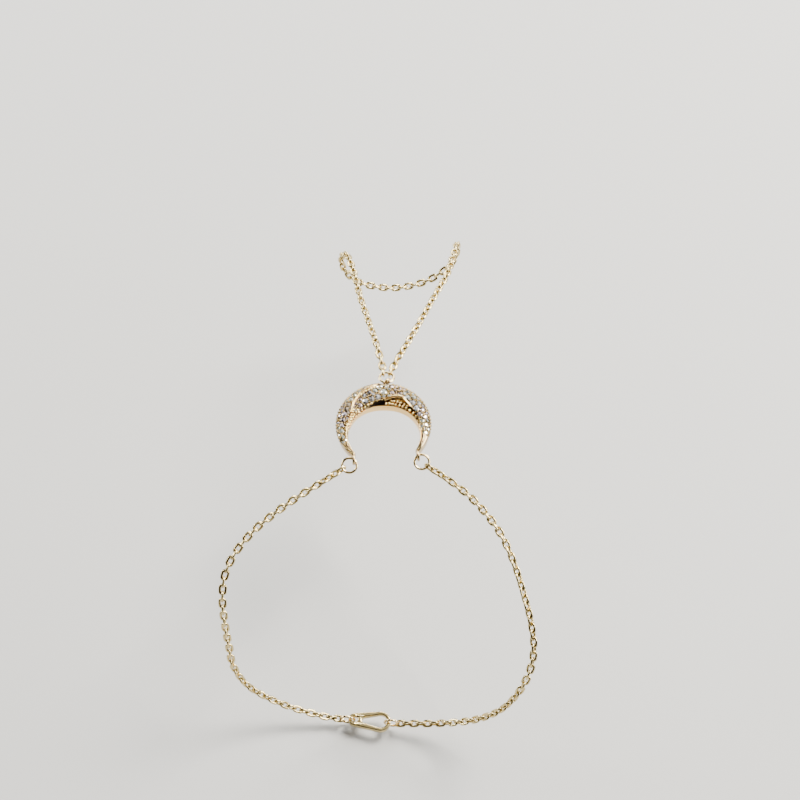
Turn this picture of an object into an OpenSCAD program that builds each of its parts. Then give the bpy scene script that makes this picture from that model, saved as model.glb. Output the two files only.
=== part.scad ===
// Hand chain bracelet, in millimetres.
// A paved crescent lies on the back of the hand. One chain runs from its arch round the middle
// finger, and two run from its horns round the wrist to a clasp.
// The origin is the centre of the crescent's outer circle, in the plane of its flat back.
// +Z points out of the hand, +Y to the fingers and +X to the thumb's side.

/* [Crescent] */
// Radius of the crescent's outer edge
crescent_r = 9.7; // [8:0.1:12]
// Width of the band in the middle of the arch
arch_w = 5.6; // [4.6:0.1:6.6]
// Height of the arch's crest above the flat back
arch_h = 2.6; // [2.2:0.1:3.6]
// Width of the band at a horn's tip
tip_w = 0.9; // [0.7:0.05:1.3]
// Height of the crest at a horn's tip
tip_h = 1.6; // [1.4:0.05:2]
// Height of the upright side walls
wall_h = 1.2; // [0.8:0.05:1.3]
// Angle from the middle of the arch to the left horn's tip
left_sweep = 140; // [128:1:142]
// Angle from the middle of the arch to the right horn's tip
right_sweep = 132; // [128:1:142]
// Width of the smooth rim along the inner edge
rim_w = 0.22; // [0.16:0.01:0.4]

/* [Crossing strands] */
// Height that the upper strand stands above the lower one at its inner edge
strand_lift = 0.8; // [0.4:0.05:1]
// Depth of the grain bed beside the upper strand
bed_depth = 0.2; // [0.1:0.05:0.3]
// Diameter of the smooth wire that edges the upper strand
edging_d = 0.46; // [0.3:0.02:0.6]

/* [Stones and grains] */
// Girdle diameter of a full sized stone
stone_d = 1.3; // [1:0.05:1.3]
// Height of a full sized stone from culet to table
stone_h = 0.7; // [0.5:0.05:0.8]
// Gap between a stone and its seat
seat_gap = 0.06; // [0.04:0.01:0.08]
// Diameter of a gold grain in the inner rows
grain_d = 0.66; // [0.5:0.02:0.7]
// Distance between neighbours in a row of grains
grain_pitch = 0.76; // [0.76:0.02:1]
// Diameter of a gold grain on the outer rim
rim_grain_d = 0.54; // [0.4:0.02:0.6]
// Distance between neighbours on the outer rim
rim_pitch = 0.86; // [0.86:0.02:1.1]

/* [Ears and jump rings] */
// Outer diameter of the ear on each horn
horn_ear_d = 2.4; // [2.2:0.1:2.8]
// Outer diameter of the ear on the arch
arch_ear_d = 2.2; // [2.1:0.1:2.6]
// Wire diameter of the ears
ear_wire_d = 0.46; // [0.4:0.02:0.5]
// Outer diameter of a jump ring
ring_d = 3.5; // [3.3:0.1:4]
// Wire diameter of a jump ring
ring_wire_d = 0.46; // [0.36:0.02:0.46]

/* [Chain] */
// Length of a chain link
link_l = 2.2; // [2.1:0.05:2.6]
// Width of a chain link
link_w = 1.44; // [1.44:0.02:1.6]
// Wire diameter of a chain link
link_wire_d = 0.28; // [0.22:0.01:0.28]
// Smallest clear gap between two links that hang in each other
link_gap = 0.15; // [0.1:0.01:0.16]

/* [Clasp] */
// Length of the clasp
clasp_l = 9; // [8:0.5:11]
// Width of the clasp's loop
clasp_w = 4.4; // [4:0.1:5.5]
// Thickness of the clasp
clasp_t = 1.2; // [1:0.1:1.5]
// Diameter of the hole in the clasp's eye
clasp_eye_d = 1.3; // [1.2:0.1:1.6]
// Width of metal round the clasp's openings
clasp_rim = 0.75; // [0.6:0.05:0.9]

/* [Hidden] */

gold = "goldenrod";
bright_gold = "gold";
clear_stone = "lavender";

// Sections along the crescent, and the fineness of its rows of grains and wires
section_step = 5;
fine = 32;
grain_sides = 10;
wire_sides = 8;
ring_sides = 16;

// Edges of the upper strand across the band, from 0 at the outer edge to 1 at the inner edge.
// Past its ends on the horns it thins to a smooth strip.
// Columns: angle, outer edge, inner edge, share of the lift at the outer edge, at the inner edge
STRAND = [
    [-145, 0.70, 0.97, 0.15, 0.10],
    [-105, 0.72, 0.97, 0.20, 0.10],
    [ -86, 0.80, 0.97, 0.25, 0.10],
    [ -70, 0.70, 0.97, 0.35, 0.20],
    [ -53, 0.43, 0.97, 0.50, 0.45],
    [ -35, 0.27, 0.96, 0.60, 0.75],
    [ -12, 0.19, 0.92, 0.60, 1.00],
    [   6, 0.06, 0.86, 0.35, 1.00],
    [  20, 0.04, 0.70, 0.15, 0.80],
    [  32, 0.04, 0.58, 0.10, 0.65],
    [  44, 0.04, 0.68, 0.10, 0.55],
    [  60, 0.04, 0.74, 0.10, 0.45],
    [  85, 0.04, 0.82, 0.10, 0.35],
    [ 110, 0.04, 0.80, 0.10, 0.20],
    [ 145, 0.04, 0.70, 0.05, 0.10]
];
edge_smoothing = 7;

// Shares across each zone of a section where its surface is sampled
LOWER_STEPS = [0, 0.2, 0.5, 1];
UPPER_STEPS = [0, 0.1, 0.3, 0.5, 0.7, 0.9, 1];
BED_STEPS = [0, 0.5, 1];

// Rows of stones, each along one zone, 0 at the zone's outer edge and 1 at its inner edge.
// Columns: first angle, last angle, count, first share, last share,
// size of the first, middle and last stone as shares of the full size
LEFT_ROWS = [[-34, -112, 10, 0.56, 0.54, 0.62, 0.89, 0.66]];
MIDDLE_ROWS = [
    [0, 0, 1, 0.55, 0.55, 1.06, 1.06, 1.06],
    [-12, -66, 5, 0.76, 0.60, 0.96, 0.92, 0.72],
    [-14, -44, 4, 0.34, 0.34, 0.80, 0.82, 0.66]
];
RIGHT_ROWS = [
    [15, 28, 2, 0.68, 0.72, 0.68, 0.68, 0.68],
    [12, 106, 9, 0.26, 0.44, 0.74, 0.80, 0.72],
    [42, 88, 5, 0.72, 0.74, 1.06, 1.00, 0.66]
];

// Cut of a stone, as shares of its girdle radius and height
table_share = 0.6;
girdle_share = 0.06;
pavilion_share = 0.6;
stone_facets = 8;
crown_sink = 0.04;

// Edging of the upper strand, above its outer edge and along the bed: first angle, last angle
// and share across the strand. Its middle stands a share of its radius above the strand.
LEFT_EDGING = [-72, 2, 0.02];
RIGHT_EDGING = [-2, 118, 0.98];
edging_rise = 0.7;
edging_end = 0.35;

// Rows of gold grains in the bed, as distances in grain diameters from the smooth rim.
// Columns: first angle, last angle, distance from the rim
GRAIN_ROWS = [[15, 90, 0.5], [22, 55, 1.6]];
// Stretches of the outer rim with a row of grains: first and last angle
RIM_ROWS = [[-118, -10], [15, 120]];
rim_share = 0.02;

// Places of the ears and rings
left_ear_lean = -2;
right_ear_lean = 9;
arch_ear_angle = 3.5;
arch_ear_turn = 30;
arch_ear_z = 1.5;
arch_ear_reach = 0.36;
// How deep the horns' ears are soldered into the tips
ear_sink = 0.1;
ring_tilt = 20;
top_ring_tilt = -16;
// Where each horn's ear sits round its jump ring, and where the chains leave the rings
left_ear_place = 53;
right_ear_place = 122;
top_ear_place = -90;
left_chain_place = 207;
right_chain_place = -38;
finger_left_place = 118;
finger_right_place = 62;

// Routes of the chains, in order from the jump ring on.
// The finger chain runs up the left of the middle finger, under it and back down the right.
FINGER_ROUTE = [
    [-0.5, 15.5, 0.6], [-1.7, 20.5, 0.6], [-3.3, 26, 0.4], [-5.2, 33, -0.4], [-6.5, 39.5, -1.6],
    [-8, 45.5, -3.6], [-9.1, 47.6, -5.8], [-9.7, 48.6, -9], [-8.8, 48, -12.6], [-5.5, 47, -15.8],
    [1.5, 47, -17.8], [8.5, 48.8, -18.3], [13.4, 51.2, -17], [15.9, 53.2, -14.7], [16.4, 54, -12.2],
    [16.3, 53.2, -9.6], [15.9, 51.1, -7.7], [15.3, 48, -6.4],
    [13.6, 40.5, -3.2], [10.8, 33.5, -1.3], [7.8, 26.5, -0.1], [5, 20.5, 0.5], [2.8, 16.2, 0.6]
];
LEFT_ROUTE = [
    [-12, -12.7, 0.5], [-16.7, -16, 0.4], [-21.5, -19.8, 0.3], [-25.8, -23.7, -0.1],
    [-29.3, -27.9, -1.2], [-31.4, -32, -3], [-32, -35.8, -6.2], [-31.8, -38.8, -11],
    [-31.3, -41.2, -17], [-30.6, -43.4, -23], [-27.5, -45.2, -29.5], [-21, -46.6, -35],
    [-13.4, -47.8, -38.1]
];
RIGHT_ROUTE = [
    [12.6, -12, 0.5], [17.3, -16, 0.3], [21.1, -20.6, 0.1], [23.9, -25, -0.5],
    [26.2, -30.3, -2], [28, -35.6, -4.4], [29.4, -40.5, -7.1], [30, -45, -10.3],
    [29.2, -48.3, -14.2], [27, -50.8, -19.2], [23.6, -51.8, -25.6], [18.6, -51.4, -31.6],
    [12, -50.4, -36]
];
// Middle of the clasp
CLASP_PLACE = [-3, -48.9, -38.6];
clasp_turn = -6;
clasp_slope = 3;

// Middle lines and half sizes of what the chains lie on, for the way that their links face
WRIST_CORE = [-1, -20];
WRIST_HALF = [31, 20];
FINGER_CORE = [3.2, -12];
FINGER_HALF = [13, 10];
route_samples = 12;

// How far each chain is turned about its own line, in degrees, at shares of its length
FINGER_TURN = [[0, 0], [0.07, 45], [0.93, 45], [1, 0]];
LEFT_TURN = [[0, 0], [0.1, 40], [0.42, 40], [0.6, 0]];
RIGHT_TURN = [[0, 0], [0.1, -40], [0.22, -40], [0.36, 0]];

link_pitch_max = link_l - 2 * link_wire_d - link_gap;
link_bend_r = (link_w - link_wire_d) / 2;
ring_r = (ring_d - ring_wire_d) / 2;
hook_reach = (link_l - link_w) / 2;

// General helpers
function mix(a, b, t) = a + (b - a) * t;
function column(table, k) = [for (row = table) [row[0], row[k]]];
function unit(v) = v / norm(v);
function last_of(list) = list[len(list) - 1];
function on_arc(a, r) = [r * sin(a), r * cos(a)];

// Crescent band: how far along its horn an angle lies, its width and its crest's height
function along_horn(a) = min(1, abs(a) / (a < 0 ? left_sweep : right_sweep));
function band_w(a) = tip_w + (arch_w - tip_w) * pow(cos(90 * along_horn(a)), 1.3);
function crest_h(a) = tip_h + (arch_h - tip_h) * pow(cos(90 * along_horn(a)), 0.8);

// Edges and lift of the upper strand, eased along the band
function eased(a, k) =
    (lookup(a - edge_smoothing, column(STRAND, k))
    + 2 * lookup(a, column(STRAND, k))
    + lookup(a + edge_smoothing, column(STRAND, k))) / 4;
function strand_out(a) = eased(a, 1);
function strand_in(a) = eased(a, 2);
function rim_start(a) = max(strand_in(a) + 0.01, 1 - rim_w / band_w(a));

// Height of the surface at an angle and a share across the band
function dome(u) = sqrt(max(0, 1 - pow(abs(2 * u - 1), 2.2)));
function base_z(a, u) = wall_h + (crest_h(a) - wall_h) * dome(u);
function strand_cap(v) = 0.7 + 0.3 * sqrt(max(0, 1 - pow(abs(2 * v - 1), 3)));
function strand_z(a, u) =
    let (v = (u - strand_out(a)) / (strand_in(a) - strand_out(a)))
    base_z(a, u) + strand_lift * mix(eased(a, 3), eased(a, 4), v) * strand_cap(v);
function bed_z(a, u) = base_z(a, u) - bed_depth * (u < 1 ? 1 : 0);
function band_point(a, u, z) = [
    on_arc(a, crescent_r - u * band_w(a))[0],
    on_arc(a, crescent_r - u * band_w(a))[1],
    z
];

// Zones across the band: the lower strand, the upper strand and the bed of grains
LOWER = 0;
UPPER = 1;
BED = 2;
function zone_share(a, zone, v) =
    zone == LOWER ? mix(0, strand_out(a), v)
    : zone == UPPER ? mix(strand_out(a), strand_in(a), v)
    : mix(strand_in(a), rim_start(a), v);
function zone_point(a, zone, v) =
    let (u = zone_share(a, zone, v))
    band_point(a, u, zone == LOWER ? base_z(a, u) : zone == UPPER ? strand_z(a, u) : bed_z(a, u));
function zone_normal(a, zone, v) =
    unit(cross(
        zone_point(a, zone, v + 0.05) - zone_point(a, zone, v - 0.05),
        zone_point(a + 1, zone, v) - zone_point(a - 1, zone, v)
    ));

function section(a) = concat(
    [band_point(a, 0, 0)],
    [for (v = LOWER_STEPS) zone_point(a, LOWER, v)],
    [for (v = UPPER_STEPS) zone_point(a, UPPER, v)],
    [for (v = BED_STEPS) zone_point(a, BED, v)],
    [band_point(a, rim_start(a), base_z(a, rim_start(a)))],
    [band_point(a, 1, wall_h), band_point(a, 1, 0)]
);

// A solid through equal rings of points, closed at both ends
module skin(rings) {
    count = len(rings[0]);
    last = len(rings) - 1;
    points = [for (ring = rings) each ring];
    walls = [
        for (i = [0 : last - 1], j = [0 : count - 1])
            let (k = (j + 1) % count)
            each [
                [i * count + j, (i + 1) * count + k, i * count + k],
                [i * count + j, (i + 1) * count + j, (i + 1) * count + k]
            ]
    ];
    start = [for (j = [0 : count - 1]) j];
    end = [for (j = [count - 1 : -1 : 0]) last * count + j];
    polyhedron(points, concat(walls, [start, end]), convexity = 6);
}

module band() {
    steps = ceil((left_sweep + right_sweep) / section_step);
    skin([for (i = [0 : steps]) section(mix(-left_sweep, right_sweep, i / steps))]);
}

// Smooth wire along the upper strand's edge, thinning to its ends
module edging(line) {
    steps = ceil(abs(line[1] - line[0]) / section_step);
    skin([
        for (i = [0 : steps])
            let (
                a = mix(line[0], line[1], i / steps),
                r = edging_d / 2 * mix(edging_end, 1, sqrt(sin(180 * i / steps))),
                middle = zone_point(a, UPPER, line[2]) + [0, 0, r * edging_rise],
                across = unit([sin(a), cos(a), 0])
            )
            [for (k = [0 : wire_sides - 1])
                middle + r * (across * cos(360 * k / wire_sides) + [0, 0, sin(360 * k / wire_sides)])]
    ]);
}

// Puts its children on the crescent's surface, upright to it
module on_surface(a, zone, v) {
    up = zone_normal(a, zone, v);
    side = unit(cross([cos(a), -sin(a), 0], up));
    ahead = cross(up, side);
    at = zone_point(a, zone, v);
    multmatrix([
        [ahead[0], side[0], up[0], at[0]],
        [ahead[1], side[1], up[1], at[1]],
        [ahead[2], side[2], up[2], at[2]]
    ]) children();
}

// One place per stone of a row: angle, share and size
function row_places(row) = [
    for (i = [0 : row[2] - 1])
        let (t = row[2] > 1 ? i / (row[2] - 1) : 0)
        [
            mix(row[0], row[1], t),
            mix(row[3], row[4], t),
            lookup(t, [[0, row[5]], [0.5, row[6]], [1, row[7]]])
        ]
];

// Cut stone with its girdle at the origin: table, crown facets, girdle and pavilion facets
module stone(size) {
    r = stone_d / 2 * size;
    h = stone_h * size;
    crown = h * (1 - girdle_share - pavilion_share);
    n = stone_facets;
    turn = 180 / n;
    function circle_at(rr, z, shift) =
        [for (k = [0 : n - 1]) [rr * cos(360 * k / n + shift), rr * sin(360 * k / n + shift), z]];
    points = concat(
        circle_at(r * table_share, crown, turn),
        circle_at(r, 0, 0),
        circle_at(r, -h * girdle_share, 0),
        [[0, 0, -h * (girdle_share + pavilion_share)]]
    );
    faces = concat(
        [[for (k = [n - 1 : -1 : 0]) k]],
        [for (k = [0 : n - 1]) let (m = (k + 1) % n) each [
            [k, m, n + m],
            [k, n + m, n + k],
            [n + k, n + m, 2 * n + m],
            [n + k, 2 * n + m, 2 * n + k],
            [2 * n + k, 2 * n + m, 3 * n]
        ]]
    );
    polyhedron(points, faces);
}

module stones(rows, zone) {
    for (row = rows, p = row_places(row))
        on_surface(p[0], zone, p[1]) translate([0, 0, crown_sink]) stone(p[2]);
}

// Room for a stone: its own cut, a gap wider, and open above
module seats(rows, zone) {
    for (row = rows, p = row_places(row)) {
        r = stone_d / 2 * p[2] + seat_gap;
        below = stone_h * p[2] * (girdle_share + pavilion_share) + 2 * seat_gap;
        on_surface(p[0], zone, p[1]) translate([0, 0, crown_sink]) hull() {
            translate([0, 0, -below]) cylinder(r = r / 4, h = seat_gap, $fn = stone_facets);
            translate([0, 0, -seat_gap]) cylinder(r = r, h = stone_h, $fn = stone_facets);
        }
    }
}

module grain(d) {
    sphere(d = d, $fn = grain_sides);
}

// Rows of grains in the bed beside the upper strand
module bed_grains() {
    for (row = GRAIN_ROWS) {
        inset = rim_w + row[2] * grain_d;
        middle_r = crescent_r - band_w((row[0] + row[1]) / 2) + inset;
        count = floor((row[1] - row[0]) * PI / 180 * middle_r / grain_pitch);
        for (i = [0 : count]) {
            a = mix(row[0], row[1], i / count);
            u = 1 - inset / band_w(a);
            translate(band_point(a, u, bed_z(a, u) + grain_d * 0.1)) grain(grain_d);
        }
    }
}

// Rows of grains where the outer wall turns into the top
module rim_grains() {
    for (row = RIM_ROWS) {
        count = floor((row[1] - row[0]) * PI / 180 * crescent_r / rim_pitch);
        for (i = [0 : count]) {
            a = mix(row[0], row[1], i / count);
            translate(band_point(a, rim_share, base_z(a, rim_share))) grain(rim_grain_d);
        }
    }
}

// Wire ring round the Z axis
module wire_ring(outer_d, wire_d) {
    rotate_extrude($fn = fine) translate([(outer_d - wire_d) / 2, 0]) circle(d = wire_d, $fn = fine);
}

module ear(outer_d) {
    rotate_extrude($fn = ring_sides)
        translate([(outer_d - ear_wire_d) / 2, 0]) circle(d = ear_wire_d, $fn = wire_sides);
}

// Middle of the ear soldered to a horn's tip; side is -1 on the left and 1 on the right
horn_ear_z = horn_ear_d / 2;
function horn_tip(side) =
    let (a = side < 0 ? -left_sweep : right_sweep)
    band_point(a, 0.5, horn_ear_z);
function horn_ear_lean(side) = side < 0 ? left_ear_lean : right_ear_lean;
function horn_ear_middle(side) =
    let (lean = horn_ear_lean(side))
    horn_tip(side) + (horn_ear_d / 2 - ear_sink) * [sin(lean), -cos(lean), 0];
arch_ear_middle = band_point(
    arch_ear_angle, -arch_ear_reach / arch_w, arch_ear_z
);

module ears() {
    for (side = [-1, 1])
        translate(horn_ear_middle(side)) rotate([0, 0, horn_ear_lean(side)]) rotate([0, 90, 0])
            ear(horn_ear_d);
    translate(arch_ear_middle) rotate([0, 0, -arch_ear_turn]) rotate([0, 90, 0]) ear(arch_ear_d);
}

module crescent() {
    color(gold) difference() {
        union() {
            band();
            edging(LEFT_EDGING);
            edging(RIGHT_EDGING);
            bed_grains();
            rim_grains();
            ears();
        }
        seats(LEFT_ROWS, LOWER);
        seats(MIDDLE_ROWS, UPPER);
        seats(RIGHT_ROWS, UPPER);
    }
}

module left_stones() {
    color(clear_stone) stones(LEFT_ROWS, LOWER);
}

module middle_stones() {
    color(clear_stone) stones(MIDDLE_ROWS, UPPER);
}

module right_stones() {
    color(clear_stone) stones(RIGHT_ROWS, UPPER);
}

// Jump rings: a tilted circle that passes through the middle of its ear.
// A place on a ring is an angle from +X, turning towards the fingers.
function ring_way(place, tilt) = [cos(place), sin(place) * cos(tilt), sin(place) * sin(tilt)];
left_ring_middle = horn_ear_middle(-1) - ring_r * ring_way(left_ear_place, ring_tilt);
right_ring_middle = horn_ear_middle(1) - ring_r * ring_way(right_ear_place, ring_tilt);
top_ring_middle = arch_ear_middle - ring_r * ring_way(top_ear_place, top_ring_tilt);

module jump_ring(middle, tilt) {
    color(bright_gold) translate(middle) rotate([tilt, 0, 0]) wire_ring(ring_d, ring_wire_d);
}

module top_ring() {
    jump_ring(top_ring_middle, top_ring_tilt);
}

module left_ring() {
    jump_ring(left_ring_middle, ring_tilt);
}

module right_ring() {
    jump_ring(right_ring_middle, ring_tilt);
}

// Middle of a link that hooks round a ring's wire and leads on to the next point
function hooked(wire_at, next) = wire_at + hook_reach * unit(next - wire_at);
function ring_hook(middle, place, tilt, next) = hooked(middle + ring_r * ring_way(place, tilt), next);

// Smooth curve through a route's points
function spline(p, i, t) =
    let (
        a = p[max(0, i - 1)],
        b = p[i],
        c = p[i + 1],
        d = p[min(len(p) - 1, i + 2)]
    )
    0.5 * ((2 * b) + (c - a) * t + (2 * a - 5 * b + 4 * c - d) * t * t
        + (3 * b - a - 3 * c + d) * t * t * t);
function spline_points(p) = concat(
    [for (i = [0 : len(p) - 2], j = [0 : route_samples - 1]) spline(p, i, j / route_samples)],
    [p[len(p) - 1]]
);
function running_lengths(q) = [
    for (i = 0, s = 0; i < len(q); i = i + 1, s = s + (i < len(q) ? norm(q[i] - q[i - 1]) : 0)) s
];
function point_at(q, s, lengths) =
    let (
        f = lookup(s, [for (i = [0 : len(q) - 1]) [lengths[i], i]]),
        i = min(len(q) - 2, floor(f))
    )
    mix(q[i], q[i + 1], f - i);

// Way out of what a chain lies on: an upright cylinder's flat oval, seen along Y
function out_of(core, half, p) =
    unit([(p[0] - core[0]) / pow(half[0], 2), 0, (p[2] - core[1]) / pow(half[1], 2)]);

// Oval link along X, lying in the XY plane
module link() {
    straight = link_l - link_w;
    for (side = [-1, 1]) {
        translate([side * straight / 2, 0, 0]) rotate([0, 0, -90 * side])
            rotate_extrude(angle = 180, $fn = fine)
                translate([link_bend_r, 0]) circle(d = link_wire_d, $fn = fine);
        translate([-straight / 2, side * link_bend_r, 0]) rotate([0, 90, 0])
            cylinder(d = link_wire_d, h = straight, $fn = fine);
    }
}

// Chain of links through a route, each a quarter turn from the last.
// The first link stands on edge, and odd_count makes the last one lie flat.
module chain(route, core, half, turns, odd_count) {
    q = spline_points(route);
    lengths = running_lengths(q);
    total = lengths[len(q) - 1];
    pairs = ceil((total / link_pitch_max - odd_count) / 2);
    steps = 2 * pairs + odd_count;
    pitch = total / steps;
    for (i = [0 : steps]) {
        s = i * pitch;
        at = point_at(q, s, lengths);
        ahead = unit(point_at(q, min(total, s + pitch / 2), lengths)
            - point_at(q, max(0, s - pitch / 2), lengths));
        out = out_of(core, half, at);
        side = unit(cross(out, ahead));
        up = cross(ahead, side);
        multmatrix([
            [ahead[0], side[0], up[0], at[0]],
            [ahead[1], side[1], up[1], at[1]],
            [ahead[2], side[2], up[2], at[2]]
        ]) rotate([90 * ((i + 1) % 2) + lookup(s / total, turns), 0, 0]) link();
    }
}

module finger_chain() {
    route = concat(
        [ring_hook(top_ring_middle, finger_left_place, top_ring_tilt, FINGER_ROUTE[0])],
        FINGER_ROUTE,
        [ring_hook(top_ring_middle, finger_right_place, top_ring_tilt, last_of(FINGER_ROUTE))]
    );
    color(bright_gold) chain(route, FINGER_CORE, FINGER_HALF, FINGER_TURN, 0);
}

// The clasp lies flat, its eye to the left and its loop to the right
function clasp_to_world(p) =
    let (c = cos(clasp_turn), s = sin(clasp_turn), e = cos(clasp_slope), f = sin(clasp_slope))
    CLASP_PLACE + [c * e * p[0] - s * p[1], s * e * p[0] + c * p[1], f * p[0]];
clasp_eye_r = clasp_eye_d / 2 + clasp_rim;
clasp_eye_x = -clasp_l / 2 + clasp_eye_r;
clasp_loop_x = clasp_l / 2 - clasp_w / 2;
// A ring stands round the clasp's rim at each end, clear of the rim's corners
clasp_ring_reach = sqrt(pow(ring_r - ring_wire_d / 2 - link_gap, 2) - pow(clasp_t / 2, 2));
clasp_ring_x = -clasp_l / 2 + clasp_rim - clasp_ring_reach;
end_ring_x = clasp_l / 2 - clasp_rim + clasp_ring_reach;

module clasp() {
    color(bright_gold) translate(CLASP_PLACE) rotate([0, -clasp_slope, clasp_turn])
        translate([0, 0, -clasp_t / 2]) linear_extrude(clasp_t) difference() {
            hull() {
                translate([clasp_loop_x, 0]) circle(d = clasp_w, $fn = fine);
                translate([clasp_eye_x, 0]) circle(r = clasp_eye_r, $fn = fine);
            }
            translate([clasp_eye_x, 0]) circle(d = clasp_eye_d, $fn = fine);
            hull() {
                translate([clasp_loop_x, 0]) circle(d = clasp_w - 2 * clasp_rim, $fn = fine);
                translate([clasp_eye_x + clasp_eye_r + clasp_rim, 0])
                    circle(d = clasp_eye_d, $fn = fine);
            }
        }
}

// Ring through the clasp's eye or loop, standing on edge
module standing_ring(x) {
    color(bright_gold) translate(clasp_to_world([x, 0, 0]))
        rotate([0, -clasp_slope, clasp_turn]) rotate([90, 0, 0]) wire_ring(ring_d, ring_wire_d);
}

module clasp_ring() {
    standing_ring(clasp_ring_x);
}

module end_ring() {
    standing_ring(end_ring_x);
}

module wrist_chain_left() {
    route = concat(
        [ring_hook(left_ring_middle, left_chain_place, ring_tilt, LEFT_ROUTE[0])],
        LEFT_ROUTE,
        [hooked(clasp_to_world([clasp_ring_x - ring_r, 0, 0]), last_of(LEFT_ROUTE))]
    );
    color(bright_gold) chain(route, WRIST_CORE, WRIST_HALF, LEFT_TURN, 1);
}

module wrist_chain_right() {
    route = concat(
        [ring_hook(right_ring_middle, right_chain_place, ring_tilt, RIGHT_ROUTE[0])],
        RIGHT_ROUTE,
        [hooked(clasp_to_world([end_ring_x + ring_r, 0, 0]), last_of(RIGHT_ROUTE))]
    );
    color(bright_gold) chain(route, WRIST_CORE, WRIST_HALF, RIGHT_TURN, 1);
}

crescent();
left_stones();
middle_stones();
right_stones();
top_ring();
left_ring();
right_ring();
finger_chain();
wrist_chain_left();
wrist_chain_right();
clasp();
clasp_ring();
end_ring();
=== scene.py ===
import math

import bpy
import numpy as np
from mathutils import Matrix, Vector


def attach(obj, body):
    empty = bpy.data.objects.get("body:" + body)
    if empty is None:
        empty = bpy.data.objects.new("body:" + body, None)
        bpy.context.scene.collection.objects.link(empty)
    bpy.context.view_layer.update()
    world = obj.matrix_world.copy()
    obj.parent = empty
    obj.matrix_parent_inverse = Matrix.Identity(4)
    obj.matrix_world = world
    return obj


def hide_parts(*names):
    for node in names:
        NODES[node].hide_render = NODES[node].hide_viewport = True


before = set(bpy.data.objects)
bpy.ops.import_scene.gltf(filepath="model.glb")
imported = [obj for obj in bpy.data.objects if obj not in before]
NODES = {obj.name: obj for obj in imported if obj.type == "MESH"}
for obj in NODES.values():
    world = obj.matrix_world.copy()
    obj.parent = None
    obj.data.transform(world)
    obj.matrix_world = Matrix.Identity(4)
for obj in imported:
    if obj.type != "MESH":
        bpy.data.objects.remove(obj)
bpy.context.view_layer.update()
MM = 0.001


# Helpers

def linear(hex_colour):
    """An sRGB hex colour as linear RGBA."""
    parts = [int(hex_colour[i:i + 2], 16) / 255 for i in (1, 3, 5)]
    return tuple(c / 12.92 if c <= 0.04045 else ((c + 0.055) / 1.055) ** 2.4 for c in parts) + (1,)


def add(tree, kind, settings=None, inputs=None):
    """Adds a node with its settings, and links or sets its inputs. A node that is given as an
    input stands for its own first output."""
    made = tree.nodes.new(kind)
    for key, value in (settings or {}).items():
        setattr(made, key, value)
    for key, value in (inputs or {}).items():
        if isinstance(value, bpy.types.Node):
            value = value.outputs[0]
        if isinstance(value, bpy.types.NodeSocket):
            tree.links.new(value, made.inputs[key])
        else:
            made.inputs[key].default_value = value
    return made


def show(name, mesh):
    """Puts a mesh in the scene as an object at the origin."""
    piece = bpy.data.objects.new(name, mesh)
    bpy.context.scene.collection.objects.link(piece)
    return piece


def dots(name, places, **attributes):
    """A mesh of loose points, in mm, with an attribute of each kind for each point."""
    mesh = bpy.data.meshes.new(name)
    mesh.from_pydata((np.asarray(places) * MM).tolist(), [], [])
    for key, values in attributes.items():
        values = np.asarray(values, np.float32)
        vector = values.ndim == 2
        made = mesh.attributes.new(key, "FLOAT_VECTOR" if vector else "FLOAT", "POINT")
        made.data.foreach_set("vector" if vector else "value", values.ravel())
    return mesh


def grow(name, mesh, tree, **values):
    """Runs a geometry tree on a mesh and keeps the result as a plain mesh."""
    piece = show(name, mesh)
    modifier = piece.modifiers.new("shape", "NODES")
    modifier.node_group = tree
    for item in tree.interface.items_tree:
        if item.in_out == "INPUT" and item.name.lower() in values:
            modifier[item.identifier] = values[item.name.lower()]
    graph = bpy.context.evaluated_depsgraph_get()
    result = bpy.data.meshes.new_from_object(piece.evaluated_get(graph), depsgraph=graph)
    piece.modifiers.remove(modifier)
    piece.data = result
    result.name = name
    return piece


def finish_piece(piece, slot, *replaced):
    """Fixes a finished piece to the one body and hides the nodes that it stands for; slot is not
    used.
    """
    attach(piece, "root")
    if replaced:
        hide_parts(*replaced)


def solids_of(node):
    """The separate solids of a CAD node, each as its own points in mm."""
    mesh = NODES[node].data
    co = np.empty(len(mesh.vertices) * 3, np.float32)
    mesh.vertices.foreach_get("co", co)
    mesh.calc_loop_triangles()
    tris = np.empty(len(mesh.loop_triangles) * 3, np.int32)
    mesh.loop_triangles.foreach_get("vertices", tris)
    # corners that coincide become one point, and points that share a triangle one group
    points, same = np.unique(np.round(co.reshape(-1, 3) / MM, 4), axis=0, return_inverse=True)
    tris = same.reshape(-1)[tris].reshape(-1, 3)
    group = np.arange(len(points))
    while True:
        before = group.copy()
        low = group[tris].min(1)
        for k in range(3):
            np.minimum.at(group, tris[:, k], low)
        group = group[group]
        if (group == before).all():
            break
    return [points[group == g] for g in np.unique(group)]


def unit(v):
    """Vectors made 1 long."""
    v = np.asarray(v, float)
    return v / np.linalg.norm(v, axis=-1, keepdims=True)


# Materials

def new_material(name):
    """A material, with its tree and its shader."""
    made = bpy.data.materials.new(name)
    made.use_nodes = True
    return made, made.node_tree, made.node_tree.nodes["Principled BSDF"]


# How far apart the polish of the gold varies, and how high its faint waves are, in mm
POLISH_MM, WAVE_MM = 0.9, 0.02


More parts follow.
